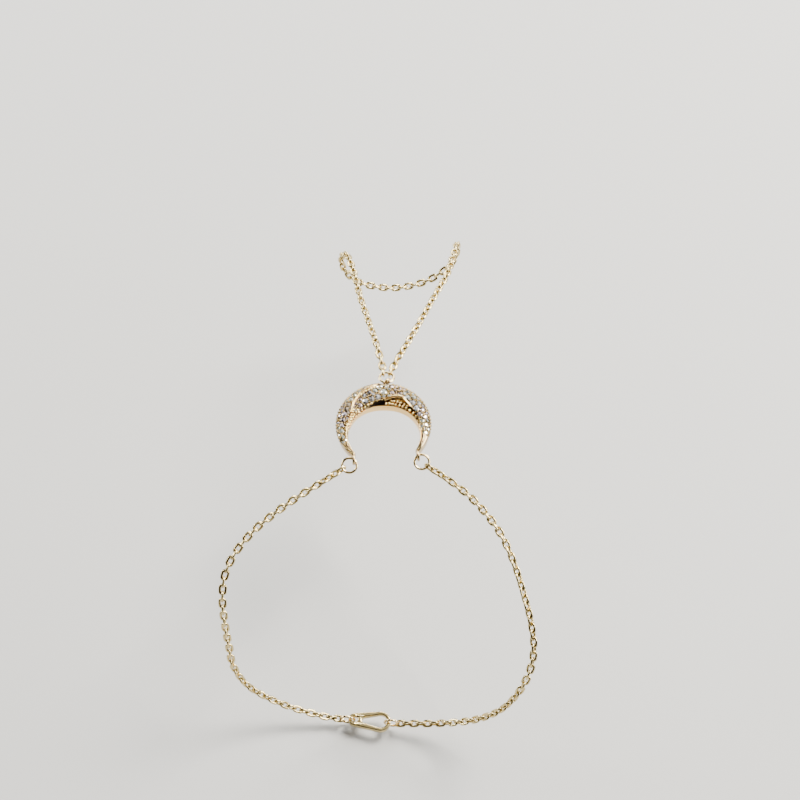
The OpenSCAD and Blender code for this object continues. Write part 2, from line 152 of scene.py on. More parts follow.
def plated_gold(name, colour, rough_low, rough_high, dent_mm):
    """Polished light yellow gold plating over brass: a pale, warm mirror whose polish varies a
    little, with the faint waves that tumbling leaves."""
    material, tree, shader = new_material(name)
    shader.inputs["Metallic"].default_value = 1
    shader.inputs["Base Color"].default_value = linear(colour)
    place = add(tree, "ShaderNodeTexCoord").outputs["Object"]
    # a wheel's marks are finer: both patterns are drawn as coarse as they need to show
    polish = add(tree, "ShaderNodeTexNoise", {"noise_dimensions": "3D"},
                 {"Vector": place, "Scale": 1 / (POLISH_MM * MM), "Detail": 3.0})
    rough = add(tree, "ShaderNodeMapRange", None,
                {"Value": polish.outputs["Fac"], "From Min": 0.3, "From Max": 0.7,
                 "To Min": rough_low, "To Max": rough_high})
    tree.links.new(rough.outputs["Result"], shader.inputs["Roughness"])
    waves = add(tree, "ShaderNodeTexNoise", None,
                {"Vector": place, "Scale": 1 / (dent_mm * MM), "Detail": 1.0})
    bump = add(tree, "ShaderNodeBump", None,
               {"Height": waves.outputs["Fac"], "Strength": 0.25, "Distance": WAVE_MM * MM})
    tree.links.new(bump.outputs["Normal"], shader.inputs["Normal"])
    return material


def cut_zirconia():
    """Cut and polished cubic zirconia with painted reflections: each facet is given a chance
    brightness, so that side by side some are white, some grey or lilac and a few dark, over each
    stone's own faint tint."""
    material, tree, shader = new_material("cubic zirconia, brilliant cut")
    facet = add(tree, "ShaderNodeAttribute", {"attribute_name": "facet"}).outputs["Fac"]
    tint = add(tree, "ShaderNodeAttribute", {"attribute_name": "tint"}).outputs["Color"]
    # each facet's chance value picks its painted reflection, from dark to white
    painted_reflections = add(tree, "ShaderNodeValToRGB", None, {"Fac": facet})
    stops = painted_reflections.color_ramp
    stops.elements[0].color = linear("#261F1A")
    stops.elements[1].color = linear("#FFFFFF")
    for at, colour in ((0.32, "#3C332C"), (0.49, "#7C7062"), (0.62, "#DAD0C4"), (0.8, "#F8F1E6")):
        stops.elements.new(at).color = linear(colour)
    # 6 and 7 are the two colours of the mix, and 2 is its result
    colour = add(tree, "ShaderNodeMix", {"data_type": "RGBA", "blend_type": "MULTIPLY"},
                 {"Factor": 1.0, 6: painted_reflections.outputs["Color"], 7: tint})
    tree.links.new(colour.outputs[2], shader.inputs["Base Color"])
    shader.inputs["Roughness"].default_value = 0.04
    shader.inputs["IOR"].default_value = 2.15
    shader.inputs["Metallic"].default_value = 0.5
    shader.inputs["Transmission Weight"].default_value = 0.1
    return material


def pale_floor():
    """Smooth pale grey card: flat and even, so that it shows only soft shadows."""
    material, tree, shader = new_material("pale grey card")
    shader.inputs["Base Color"].default_value = linear("#BCBCB9")
    shader.inputs["Roughness"].default_value = 0.9
    return material


def painted_shade_recess():
    """The undercut, painted dark brown as shade: dull and almost without shine."""
    material, tree, shader = new_material("gold plated brass, painted shade in the recess")
    shader.inputs["Base Color"].default_value = linear("#2B1D14")
    shader.inputs["Metallic"].default_value = 0.5
    shader.inputs["Roughness"].default_value = 0.55
    return material


# cast metal polished on a wheel: broad, soft mirrors along the ridges and ears
GOLD_CAST = plated_gold("gold plated brass, cast and polished", "#C6AE80", 0.08, 0.16, 1.6)
# walls and edging: a warm cream band, painted reflection that is brighter and warmer than the cast
# gold
GOLD_EDGE_PAINTED_REFLECTION = plated_gold("gold plated brass, buffed edges and walls", "#FAD28C", 0.12, 0.2, 1.6)
# tumbled wire: a soft gold face with bright lines along its edges
GOLD_WIRE = plated_gold("gold plated brass, drawn wire", "#D2BE88", 0.18, 0.28, 0.8)
# jump rings are polished a little more than the links; their paler colour all round is painted
# light
GOLD_RING_PAINTED_LIGHT = plated_gold("gold plated brass, jump ring wire", "#E2CA98", 0.10, 0.18, 0.8)
# small grains between the stones: deep gold darkened as painted shade, with a point of light on
# each
GOLD_BEAD_PAINTED_SHADE = plated_gold("gold plated brass, raised beads", "#A38E62", 0.06, 0.12, 0.5)
# the bed's beads lie in the strand's shade; their pale gold is painted light, with a duller shine
GOLD_BED_PAINTED_LIGHT = plated_gold("gold plated brass, beads in the bed", "#FFDE96", 0.18, 0.28, 0.5)
# the beads beside the inner wall carry a painted orange reflection of its warmth
GOLD_INNER_PAINTED_REFLECTION = plated_gold("gold plated brass, beads beside the inner wall",
                         "#F2BC74", 0.10, 0.18, 0.5)
# between the stones the metal stays dull as cast, and its dark colour is painted shade
GOLD_PAINTED_SHADE_BETWEEN = plated_gold("gold plated brass, left as cast", "#3A2E22", 0.35, 0.5, 0.4)
PAINTED_SHADE_RECESS = painted_shade_recess()
ZIRCONIA = cut_zirconia()
CARD = pale_floor()


# The crescent's rule, in mm

CRESCENT_R = 9.7
ARCH_W, ARCH_H = 5.6, 2.6
TIP_W, TIP_H = 0.9, 1.6
WALL_H = 1.2
LEFT_SWEEP, RIGHT_SWEEP = 140, 132
RIM_W = 0.22
STRAND_LIFT = 0.8
BED_DEPTH = 0.2
# The smallest share of the band that the bed takes
LEAST_BED = 0.01
# How fast the band narrows and sinks to its tips, and how square its dome is
NARROWING, SINKING, DOME = 1.3, 0.8, 2.2
# The upper strand: its edges as shares across the band, and the shares of the lift at them
ANGLE, OUTER, INNER, OUTER_LIFT, INNER_LIFT = range(5)
STRAND = np.array([
    [-145, 0.70, 0.97, 0.15, 0.10], [-105, 0.72, 0.97, 0.20, 0.10], [-86, 0.80, 0.97, 0.25, 0.10],
    [-70, 0.70, 0.97, 0.35, 0.20], [-53, 0.43, 0.97, 0.50, 0.45], [-35, 0.27, 0.96, 0.60, 0.75],
    [-12, 0.19, 0.92, 0.60, 1.00], [6, 0.06, 0.86, 0.35, 1.00], [20, 0.04, 0.70, 0.15, 0.80],
    [32, 0.04, 0.58, 0.10, 0.65], [44, 0.04, 0.68, 0.10, 0.55], [60, 0.04, 0.74, 0.10, 0.45],
    [85, 0.04, 0.82, 0.10, 0.35], [110, 0.04, 0.80, 0.10, 0.20], [145, 0.04, 0.70, 0.05, 0.10],
])
# Degrees to each side over which these are eased
EDGE_SMOOTHING = 7
# The zones across the band: the lower strand, the upper one and the bed of beads
LOWER, UPPER, BED = 0, 1, 2
# Steps in degrees and in share across, by which the slope of a strand is taken
STEP_A, STEP_V = 0.7, 0.03


def eased(a, column):
    """A column of the strand's table at an angle, eased along the band."""
    around = np.linspace(-EDGE_SMOOTHING, EDGE_SMOOTHING, 7)
    weight = np.hanning(9)[1:-1]
    values = [np.interp(np.asarray(a) + d, STRAND[:, ANGLE], STRAND[:, column]) for d in around]
    return np.tensordot(weight / weight.sum(), np.array(values), 1)


def along_horn(a):
    """How far along its horn an angle lies, from 0 at the arch to 1 at the tip."""
    a = np.asarray(a, float)
    return np.minimum(1, np.abs(a) / np.where(a < 0, LEFT_SWEEP, RIGHT_SWEEP))


def fullness(a):
    """1 at the arch, falling to 0 at the tips like a cosine."""
    return np.maximum(np.cos(np.radians(90 * along_horn(a))), 0)


def band_w(a):
    """The band's width at an angle."""
    return TIP_W + (ARCH_W - TIP_W) * fullness(a) ** NARROWING


def crest_h(a):
    """The height of the band's crest at an angle."""
    return TIP_H + (ARCH_H - TIP_H) * fullness(a) ** SINKING


def base_z(a, u):
    """The plain dome's height at an angle and at a share across, from the outer edge."""
    dome = np.sqrt(np.maximum(0, 1 - np.abs(2 * np.asarray(u) - 1) ** DOME))
    return WALL_H + (crest_h(a) - WALL_H) * dome


def rim_start(a):
    """The share across where the bed ends and the smooth rim begins."""
    return np.maximum(eased(a, INNER) + LEAST_BED, 1 - RIM_W / band_w(a))


def zone_share(a, zone, v):
    """The share across the band of a share across one of its zones."""
    outer, inner = eased(a, OUTER), eased(a, INNER)
    low, high = {LOWER: (0 * outer, outer), UPPER: (outer, inner), BED: (inner, rim_start(a))}[zone]
    return low + (high - low) * v


def band_point(a, u, z):
    """A place in mm: its angle, clockwise from the arch, its share across and its height."""
    r = CRESCENT_R - u * band_w(a)
    t = np.radians(a)
    return np.stack([r * np.sin(t), r * np.cos(t), z + 0 * r], -1)


def zone_point(a, zone, v):
    """A place on the surface of a zone. The upper strand stands up from the dome, with its crown
    rounded off towards its edges, and the bed lies a little below the dome."""
    a, v = np.broadcast_arrays(np.asarray(a, float), np.asarray(v, float))
    u = zone_share(a, zone, v)
    z = base_z(a, u)
    if zone == UPPER:
        cap = 0.7 + 0.3 * np.sqrt(np.maximum(0, 1 - np.abs(2 * v - 1) ** 3))
        outer, inner = eased(a, OUTER_LIFT), eased(a, INNER_LIFT)
        z = z + STRAND_LIFT * (outer + (inner - outer) * v) * cap
    if zone == BED:
        z = z - BED_DEPTH
    return band_point(a, u, z)


def zone_normal(a, zone, v):
    """Which way the surface of a zone faces."""
    v_high, v_low = np.minimum(v + STEP_V, 1), np.maximum(v - STEP_V, 0)
    across = zone_point(a, zone, v_high) - zone_point(a, zone, v_low)
    along = zone_point(a + STEP_A, zone, v) - zone_point(a - STEP_A, zone, v)
    return unit(np.cross(across, along))


# Geometry trees

# The seed of the facets' chance brightness, which is painted reflection, how level a facet is that
# belongs to the table, and how much painted highlight the table gets
FACET_SEED, TABLE_LEAN, TABLE_PAINTED_HIGHLIGHT = 7, 0.98, 0.12
# A corner this near to a loop's middle line, in mm, lies on it
SNAP = 0.01


def new_tree(name, sizes):
    """A geometry tree with a mesh input, named sizes and a material."""
    tree = bpy.data.node_groups.new(name, "GeometryNodeTree")
    face = tree.interface
    face.new_socket(name="Geometry", in_out="INPUT", socket_type="NodeSocketGeometry")
    for label, kind in sizes:
        face.new_socket(name=label, in_out="INPUT", socket_type=kind)
    face.new_socket(name="Finish", in_out="INPUT", socket_type="NodeSocketMaterial")
    face.new_socket(name="Geometry", in_out="OUTPUT", socket_type="NodeSocketGeometry")
    return tree, add(tree, "NodeGroupInput").outputs


def finish_tree(tree, source, shape, smooth=True):
    """Ends a tree: says how the shape is shaded and what it is made of."""
    shaded = add(tree, "GeometryNodeSetShadeSmooth", None,
                 {"Geometry": shape, "Shade Smooth": smooth})
    finished = add(tree, "GeometryNodeSetMaterial", None,
                   {"Geometry": shaded, "Material": source["Finish"]})
    add(tree, "NodeGroupOutput", None, {0: finished})


def plant(tree, source, shape, turn, scale, smooth=True, bright=None):
    """Puts the shape on each point, makes it real and gives it its finish."""
    placed = add(tree, "GeometryNodeInstanceOnPoints", None, {
        "Points": source["Geometry"], "Instance": shape, "Rotation": turn, "Scale": scale})
    real = add(tree, "GeometryNodeRealizeInstances", None, {0: placed})
    if bright:
        # a chance value for each facet, its painted reflection, raised by a painted highlight where
        # the stone's own shape makes it bright
        raised = add(tree, "GeometryNodeInputNamedAttribute", {"data_type": "FLOAT"},
                     {"Name": bright})
        chance = add(tree, "FunctionNodeRandomValue", {"data_type": "FLOAT"}, {"Seed": FACET_SEED})
        value = add(tree, "ShaderNodeMath", {"operation": "ADD"}, {0: chance.outputs[1], 1: raised})
        real = add(tree, "GeometryNodeStoreNamedAttribute",
                   {"data_type": "FLOAT", "domain": "FACE"},
                   {"Geometry": real, "Name": "facet", "Value": value})
    finish_tree(tree, source, real, smooth)


def wire_loop_tree():
    """Closed loops of wire: links where longer than wide, and rings where round."""
    tree, source = new_tree("wire loops", [
        ("Length", "NodeSocketFloat"), ("Width", "NodeSocketFloat"), ("Wire", "NodeSocketFloat"),
        ("Broad", "NodeSocketFloat"), ("Corners", "NodeSocketInt"), ("Sides", "NodeSocketInt")])
    across = add(tree, "ShaderNodeMath", {"operation": "SUBTRACT"},
                 {0: source["Width"], 1: source["Broad"]})
    bend = add(tree, "ShaderNodeMath", {"operation": "DIVIDE"}, {0: across, 1: 2.0})
    circle = add(tree, "GeometryNodeCurvePrimitiveCircle", None,
                 {"Resolution": source["Corners"], "Radius": bend})
    # the two half circles move apart by the link's straight length
    straight = add(tree, "ShaderNodeMath", {"operation": "SUBTRACT"},
                   {0: source["Length"], 1: source["Width"]})
    half = add(tree, "ShaderNodeMath", {"operation": "DIVIDE"}, {0: straight, 1: 2.0})
    spot = add(tree, "ShaderNodeSeparateXYZ", None, {0: add(tree, "GeometryNodeInputPosition")})
    steps = add(tree, "ShaderNodeMath", {"operation": "MULTIPLY"}, {0: spot, 1: 1 / (SNAP * MM)})
    snapped = add(tree, "ShaderNodeMath", {"operation": "ROUND"}, {0: steps})
    side = add(tree, "ShaderNodeMath", {"operation": "SIGN"}, {0: snapped})
    shift = add(tree, "ShaderNodeMath", {"operation": "MULTIPLY"}, {0: side, 1: half})
    offset = add(tree, "ShaderNodeCombineXYZ", None, {0: shift})
    oval = add(tree, "GeometryNodeSetPosition", None, {"Geometry": circle, "Offset": offset})
    # the wire is rolled a little flat: broad in the loop's plane, thinner across it
    section = add(tree, "GeometryNodeCurvePrimitiveCircle", None,
                  {"Resolution": source["Sides"], "Radius": 0.5})
    rolled = add(tree, "ShaderNodeCombineXYZ", None,
                 {0: source["Broad"], 1: source["Wire"], 2: 1.0})
    flat_section = add(tree, "GeometryNodeTransform", None, {"Geometry": section, "Scale": rolled})
    loop = add(tree, "GeometryNodeCurveToMesh", None,
               {"Curve": oval, "Profile Curve": flat_section})
    along = add(tree, "GeometryNodeInputNamedAttribute", {"data_type": "FLOAT_VECTOR"},
                {"Name": "along"})
    facing = add(tree, "GeometryNodeInputNamedAttribute", {"data_type": "FLOAT_VECTOR"},
                 {"Name": "facing"})
    turn = add(tree, "FunctionNodeAxesToRotation", {"primary_axis": "X", "secondary_axis": "Z"},
               {0: along, 1: facing})
    plant(tree, source, loop, turn, (1, 1, 1))
    return tree


def turn_and_size(tree):
    """How each point turns its shape, upright to the surface and spun round its own axis, and
    how large it makes it."""
    facing = add(tree, "GeometryNodeInputNamedAttribute", {"data_type": "FLOAT_VECTOR"},
                 {"Name": "facing"})
    upright = add(tree, "FunctionNodeAlignRotationToVector", {"axis": "Z"}, {"Vector": facing})
    spin = add(tree, "GeometryNodeInputNamedAttribute", {"data_type": "FLOAT"}, {"Name": "spin"})
    around = add(tree, "ShaderNodeCombineXYZ", None, {2: spin})
    turn = add(tree, "FunctionNodeRotateRotation", {"rotation_space": "LOCAL"},
               {0: upright, 1: around})
    size = add(tree, "GeometryNodeInputNamedAttribute", {"data_type": "FLOAT"}, {"Name": "size"})
    return turn, size


def brilliant_tree():
    """Round brilliants of radius 1: rings of corners at each level, wrapped tight."""
    tree, source = new_tree("brilliant cut stones",
                            [("Table", "NodeSocketFloat"), ("Crown", "NodeSocketFloat")])
    # corners, radius, height and turn of each level; the table rises a hair to its middle, so
    # that it falls into eight mirrors of its own
    levels = [(3, 0.01, 0.375, 0), (8, source["Table"], source["Crown"], 22.5), (8, 0.84, 0.17, 0),
              (16, 1.0, 0.0, 0), (16, 1.0, -0.05, 0), (8, 0.52, -0.42, 0), (3, 0.02, -0.68, 0)]
    joined = add(tree, "GeometryNodeJoinGeometry")
    for corners, radius, level, turned in levels:
        ring = add(tree, "GeometryNodeMeshCircle", None, {"Vertices": corners, "Radius": radius})
        lift = add(tree, "ShaderNodeCombineXYZ", None, {2: level})
        raised = add(tree, "GeometryNodeTransform", None, {
            "Geometry": ring, "Translation": lift, "Rotation": (0, 0, math.radians(turned))})
        tree.links.new(raised.outputs[0], joined.inputs[0])
    stone = add(tree, "GeometryNodeConvexHull", None, {0: joined})
    # level facets of the table get a painted highlight
    lean = add(tree, "ShaderNodeSeparateXYZ", None, {0: add(tree, "GeometryNodeInputNormal")})
    flat = add(tree, "ShaderNodeMath", {"operation": "GREATER_THAN"},
               {0: lean.outputs[2], 1: TABLE_LEAN})
    table_painted_highlight = add(tree, "ShaderNodeMath", {"operation": "MULTIPLY"}, {0: flat, 1: TABLE_PAINTED_HIGHLIGHT})
    marked = add(tree, "GeometryNodeStoreNamedAttribute", {"data_type": "FLOAT", "domain": "FACE"},
                 {"Geometry": stone, "Name": "table", "Value": table_painted_highlight})
    turn, size = turn_and_size(tree)
    plant(tree, source, marked, turn, size, smooth=False, bright="table")
    return tree


def bead_tree():
    """Round beads of diameter 1, sunk where their point lies."""
    tree, source = new_tree("raised beads",
                            [("Rings", "NodeSocketInt"), ("Segments", "NodeSocketInt")])
    ball = add(tree, "GeometryNodeMeshUVSphere", None,
               {"Segments": source["Segments"], "Rings": source["Rings"], "Radius": 0.5})
    turn, size = turn_and_size(tree)
    plant(tree, source, ball, turn, size)
    return tree


def rail_tree():
    """Smooth wires along their lines, as thick as the lines say."""
    tree, source = new_tree("edging rails", [("Sides", "NodeSocketInt")])
    line = add(tree, "GeometryNodeMeshToCurve", None, {0: source["Geometry"]})
    thick = add(tree, "GeometryNodeInputNamedAttribute", {"data_type": "FLOAT"}, {"Name": "thick"})
    section = add(tree, "GeometryNodeCurvePrimitiveCircle", None,
                  {"Resolution": source["Sides"], "Radius": 0.5})
    tube = add(tree, "GeometryNodeCurveToMesh", None,
               {"Curve": line, "Profile Curve": section, "Scale": thick, "Fill Caps": True})
    real = add(tree, "GeometryNodeRealizeInstances", None, {0: tube})
    finish_tree(tree, source, real)
    return tree


LOOPS, BRILLIANTS, BEADS, RAILS = wire_loop_tree(), brilliant_tree(), bead_tree(), rail_tree()


# Chains and rings

def loop_places(node):
    """Middle, long way and facing of each loop of a CAD node."""
    middles, along, facing = [], [], []
    for solid in solids_of(node):
        middle = solid.mean(0)
        axes = np.linalg.svd(solid - middle, full_matrices=False)[2]
        middles.append(middle)
        along.append(axes[0])
        facing.append(axes[2])
    return np.array(middles), np.array(along), np.array(facing)


# In mm: the real wire is thicker than the solids', and its links touch where they hook
LINK_L, LINK_W, LINK_WIRE, LINK_BROAD = 2.52, 1.76, 0.5, 0.56
RING_D, RING_WIRE = 3.54, 0.54

for node in ("finger_chain", "wrist_chain_left", "wrist_chain_right"):
    middles, along, facing = loop_places(node)
    chain = grow(node + "_links", dots(node, middles, along=along, facing=facing), LOOPS,
                 length=LINK_L * MM, width=LINK_W * MM, wire=LINK_WIRE * MM, broad=LINK_BROAD * MM,
                 corners=16, sides=6, finish=GOLD_WIRE)
    finish_piece(chain, "gold", node)

for node in ("top_ring", "left_ring", "right_ring", "clasp_ring", "end_ring"):
    middles, along, facing = loop_places(node)
    ring = grow(node + "_wire", dots(node, middles, along=along, facing=facing), LOOPS,
                length=RING_D * MM, width=RING_D * MM, wire=RING_WIRE * MM, broad=RING_WIRE * MM,
                corners=48, sides=12, finish=GOLD_RING_PAINTED_LIGHT)
    finish_piece(ring, "gold", node)


# Crescent body

# One ring of points for each degree, and the columns of points across each zone
BODY_STEPS = LEFT_SWEEP + RIGHT_SWEEP + 1
LOWER_COLUMNS, UPPER_COLUMNS, BED_COLUMNS = 12, 20, 6
# Levels of the outer wall's columns, as shares of its height
WALL_LEVELS = (0, 0.5, 0.93)
# The undercut beside the middle stone: angles and shares of its depth along it, its depth in mm
# and the least depth elsewhere
UNDERCUT_A, UNDERCUT_SHARES = (-36, -24, 1, 4), (0, 0.6, 1, 0)
UNDERCUT_IN, UNDERCUT_LEAST = 0.45, 0.02
# How far its two inner edges lie below the strand's edge and above the bed's
BROW_DROP, SILL_RISE = 0.12, 0.02
# The paved stretch: its middle and half its sweep in degrees
PAVED_MIDDLE, PAVED_HALF = -8, 112
SHARP_ANGLE = math.radians(40)


def crescent_mesh():
    """The cast body: one closed ring of points for each angle, from horn to horn."""
    angles = np.linspace(-LEFT_SWEEP, RIGHT_SWEEP, BODY_STEPS)
    columns = [band_point(angles, 0, level * WALL_H) for level in WALL_LEVELS]
    first_paved = len(columns) - 1
    # closer together towards the outer edge, where the dome is steep
    columns += [zone_point(angles, LOWER, v) for v in np.linspace(0, 1, LOWER_COLUMNS) ** 1.3]
    shares = (1 - np.cos(np.linspace(0, math.pi, UPPER_COLUMNS))) / 2
    columns += [zone_point(angles, UPPER, v) for v in shares]
    # under the upper strand's lifted edge the wall goes in, deepest beside the middle stone
    shares = np.interp(angles, UNDERCUT_A, UNDERCUT_SHARES)[:, None]
    inward = unit(columns[-1][:, :2]) * (UNDERCUT_LEAST + UNDERCUT_IN * shares)
    brow, sill = columns[-1].copy(), zone_point(angles, BED, 0)
    for place, rise in ((brow, -BROW_DROP), (sill, SILL_RISE)):
        place[:, :2] += inward
        place[:, 2] += rise
    first_recess = len(columns) - 1
    columns += [brow, sill]
    columns += [zone_point(angles, BED, v) for v in np.linspace(0, 1, BED_COLUMNS)]
    start = rim_start(angles)
    first_rim = len(columns) - 1
    columns += [band_point(angles, start, base_z(angles, start))]
    columns += [band_point(angles, 1, z) for z in (WALL_H, 0.5 * WALL_H, 0)]
    grid = np.stack(columns, 1)
    rows, count = grid.shape[:2]
    index = np.arange(rows * count).reshape(rows, count)
    after = np.roll(index, -1, 1)
    walls = np.stack([index[:-1], index[1:], after[1:], after[:-1]], -1).reshape(-1, 4)
    faces = walls.tolist() + [index[0].tolist(), index[-1][::-1].tolist()]
    mesh = bpy.data.meshes.new("crescent_body")
    mesh.from_pydata((grid.reshape(-1, 3) * MM).tolist(), [], faces)
    mesh.shade_smooth()
    mesh.set_sharp_from_angle(angle=SHARP_ANGLE)
    finishes = [GOLD_CAST, PAINTED_SHADE_RECESS, GOLD_PAINTED_SHADE_BETWEEN, GOLD_EDGE_PAINTED_REFLECTION]
    for finish in finishes:
        mesh.materials.append(finish)
    kinds = np.zeros(len(mesh.polygons), np.int32)
    walls = kinds[:(rows - 1) * count].reshape(rows - 1, count)
    # the undercut's wall is painted dark as shade
    lifted = (angles[:-1] > UNDERCUT_A[0]) & (angles[:-1] < UNDERCUT_A[-1])
    walls[lifted, first_recess:first_recess + 3] = finishes.index(PAINTED_SHADE_RECESS)
    # between the stones the strands take the dark gold of painted shade
    paved = np.abs(angles[:-1] - PAVED_MIDDLE) < PAVED_HALF
    walls[paved, first_paved:first_recess] = finishes.index(GOLD_PAINTED_SHADE_BETWEEN)
    # the rim and the inner wall, but not the underside, which closes the ring, take the painted
    # warm reflection
    walls[:, first_rim:-1] = finishes.index(GOLD_EDGE_PAINTED_REFLECTION)
    mesh.polygons.foreach_set("material_index", kinds)
    return mesh


def facing_out(mesh):
    """Signed volume of a closed mesh: positive where its faces point outwards."""
    mesh.calc_loop_triangles()
    return sum(mesh.vertices[t.vertices[0]].co.dot(
        mesh.vertices[t.vertices[1]].co.cross(mesh.vertices[t.vertices[2]].co))
        for t in mesh.loop_triangles)


body_mesh = crescent_mesh()
if facing_out(body_mesh) < 0:
    body_mesh.flip_normals()
finish_piece(show("crescent_body", body_mesh), "gold", "crescent")


# Edging and ridges

# A rail's points: degrees between them and the fewest of them; and how late its ends thin
RAIL_STEP, RAIL_LEAST, RAIL_THINNING = 1.5, 12, 0.3


def line_mesh(name, lines):
    """Loose lines for the rail tree, each a row of points with a thickness."""
    points, edges, thick = [], [], []
    for places, sizes in lines:
        first = len(points)
        points += (places * MM).tolist()
        thick += (sizes * MM).tolist()
        edges += [(i, i + 1) for i in range(first, len(points) - 1)]
    mesh = bpy.data.meshes.new(name)
    mesh.from_pydata(points, edges, [])
    made = mesh.attributes.new("thick", "FLOAT", "POINT")
    made.data.foreach_set("value", np.asarray(thick, np.float32))
    return mesh


def rail(first, last, zone, v_first, v_last, thick, rise=0.3, ends=0.25):
    """One line along the band, from angle to angle and from share to share across a zone. It
    thins at its ends to a share of its thickness, and rises by a share of its radius."""
    t = np.linspace(0, 1, max(RAIL_LEAST, int(abs(last - first) / RAIL_STEP)))
    a = first + (last - first) * t
    size = thick * (ends + (1 - ends) * np.sin(math.pi * t) ** RAIL_THINNING)
    places = zone_point(a, zone, v_first + (v_last - v_first) * t)
    places = places + np.stack([0 * t, 0 * t, size / 2 * rise], -1)
    return places, size


edging = [
    rail(-73, -8, UPPER, 0.02, 0.03, 0.50, rise=0.8),      # over the lower strand
    rail(2, 60, UPPER, 0.97, 0.97, 0.58, rise=0.5),        # along the bed of beads
    rail(-40, 131, BED, 1.0, 1.0, 0.24, rise=0.8, ends=0.6),  # smooth rim along the inner edge
]
ridges = [
    rail(-136, -84, UPPER, 0.45, 0.4, 0.22, rise=0.4),     # strip inside the left horn
    rail(84, 131, UPPER, 0.72, 0.55, 0.22, rise=0.4),      # ridges that meet on the right horn
    rail(96, 131, UPPER, 0.36, 0.45, 0.26, rise=0.4),
]
# dark lines as thin raised rails, drawn as painted shade between and beside the ridges
groove_shade_lines = [
    rail(86, 127, UPPER, 0.55, 0.50, 0.15, rise=0.2),      # between the right horn's ridges
    rail(84, 126, UPPER, 0.96, 0.90, 0.13, rise=0.2),      # beside its inner edge
    rail(-134, -90, UPPER, 0.75, 0.70, 0.13, rise=0.2),    # inside the left horn's strip
]
# the edging takes the painted warm reflection, the dark lines painted shade
for name, lines, finish in (
        ("crescent_edging", edging, GOLD_EDGE_PAINTED_REFLECTION), ("horn_ridges", ridges, GOLD_CAST),
        ("horn_groove_shade_lines", groove_shade_lines, PAINTED_SHADE_RECESS)):
    finish_piece(grow(name, line_mesh(name, lines), RAILS, sides=10, finish=finish), "gold")


# Ears

# In mm: the ears' outer diameters, their wire, and how far they sink into a tip
TIP_EAR_D, TOP_EAR_D, EAR_WIRE, EAR_SINK = 2.4, 2.2, 0.54, 0.1
# In degrees: how the ears on the tips lean, and how the one on the arch is turned
LEFT_LEAN, RIGHT_LEAN, ARCH_TURN = -2, 9, 45
# The top ear: its angle on the arch, how far it stands outside the rim, and its height
TOP_EAR_A, TOP_EAR_OUT, TOP_EAR_Z = 3.5, 0.36, 1.5


def ear_on_tip(a, lean, outer_d):
    """Middle, long way and facing of an ear that stands upright on a horn's tip."""
    lean = math.radians(lean)
    tip = band_point(np.array(float(a)), 0.5, outer_d / 2)
    middle = tip + (outer_d / 2 - EAR_SINK) * np.array([math.sin(lean), -math.cos(lean), 0])
    return middle, [0, 0, 1], [math.cos(lean), math.sin(lean), 0]


arch_ear = band_point(np.array(TOP_EAR_A), -TOP_EAR_OUT / ARCH_W, TOP_EAR_Z)
turned = math.radians(ARCH_TURN)
for name, (middle, along, facing), outer_d in (
        ("left_ear", ear_on_tip(-LEFT_SWEEP, LEFT_LEAN, TIP_EAR_D), TIP_EAR_D),
        ("right_ear", ear_on_tip(RIGHT_SWEEP, RIGHT_LEAN, TIP_EAR_D), TIP_EAR_D),
        ("top_ear", (arch_ear, [0, 0, 1], [math.cos(turned), -math.sin(turned), 0]), TOP_EAR_D)):
    ear = grow(name, dots(name, [middle], along=[along], facing=[facing]), LOOPS,
               length=outer_d * MM, width=outer_d * MM, wire=EAR_WIRE * MM, broad=EAR_WIRE * MM,
               corners=32, sides=10, finish=GOLD_CAST)
    finish_piece(ear, "gold")


# Stones and beads

chance = np.random.default_rng(20)
UPRIGHT = (0, 0, 1)

# Cut of the stones, as shares of their girdle radius
TABLE, CROWN = 0.58, 0.36
# Corners of a stone's mesh this near in height, in mm, lie on one level
SAME_LEVEL = 0.05
# The fine stones between the main ones: radius, seat, clearance, rise and tries in each field
FINE_R, FINE_SPACE, FINE_GAP, FINE_RISE, FINE_TRIES = 0.33, 0.34, 0.04, 0.03, 2500
# The claws: radius, how far they stand off their stone, and how far they rise in two steps
CLAW_R, CLAW_OFFSET, CLAW_LIFT, CLAW_RISE = 0.17, 0.08, 0.02, 0.04
# How near a claw may come to a neighbour: share of its radius, and mm on top
CLAW_NEAR, CLAW_CLEAR = 0.8, 0.1
# Radius and number of tries of the grains that fill what is left, lapping a little
GRAINS, GRAIN_GAP = ((0.2, 3500), (0.15, 4500), (0.11, 4500)), -0.05
# Stretches of the strands that hold fine stones, then grains: zone, angles, shares across
FINE_FIELDS = ((LOWER, -122, -12, 0.2, 0.86), (UPPER, -62, 100, 0.14, 0.88))
GRAIN_FIELDS = ((LOWER, -137, -8, 0.1, 0.95), (UPPER, -74, 108, 0.08, 0.94))
# Single rows of beads: zone, first and last angle, share across, diameter
BEAD_ROWS = (
    (UPPER, -64, -30, 0.93, 0.56), (UPPER, -46, -14, 0.13, 0.5), (UPPER, -112, -66, 0.3, 0.5),
    (UPPER, -104, -62, 0.72, 0.54), (BED, -96, -50, 0.4, 0.5))
# Their pitch as a share of the diameter, and their rise
ROW_PITCH, ROW_RISE = 1.12, 0.08
# The bed's staggered rows: number, first inset, distance and pitch, then the first row's
# diameter, how much each next one shrinks, and their rise above the bed
BED_ROWS, BED_INSET, BED_STEP, BED_PITCH = 5, 0.52, 0.56, 0.64
BED_BEAD_D, BED_SHRINK, BED_RISE = 0.6, 0.02, 0.2
# Angles where the rows begin and end, and their clearance from the strand before and after
BED_FIRST, BED_MIDDLE, BED_LAST = 6, 60, 104
BED_CLEAR, BED_LAP = 0.04, -0.02
